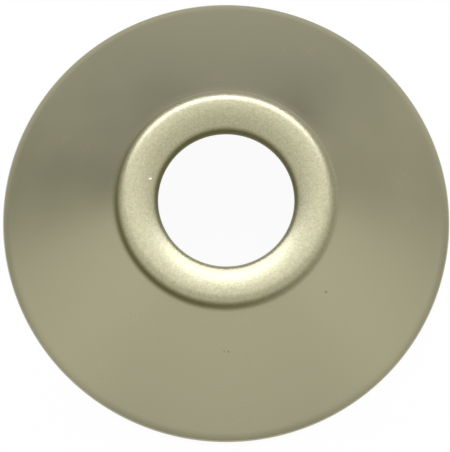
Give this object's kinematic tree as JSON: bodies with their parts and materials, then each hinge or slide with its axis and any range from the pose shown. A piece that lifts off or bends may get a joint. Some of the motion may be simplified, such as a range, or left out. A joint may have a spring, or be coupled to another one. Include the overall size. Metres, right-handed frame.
{
  "type": "pipe escutcheon",
  "caption": "Round conical cover plate in satin nickel with a rounded collar round its pipe hole, for hiding the gap where a pipe leaves a wall.",
  "frame": {"origin": "centre of the rim, in the plane of the wall that the plate sits against", "axes": "+Z along the pipe, away from the wall; the plate is round, so X and Y are alike"},
  "size_m": [0.0762, 0.0762, 0.0175],
  "materials": {
    "satin_nickel": "satin"
  },
  "bodies": {
    "root": {"escutcheon": "satin_nickel"}
  },
  "joints": []
}
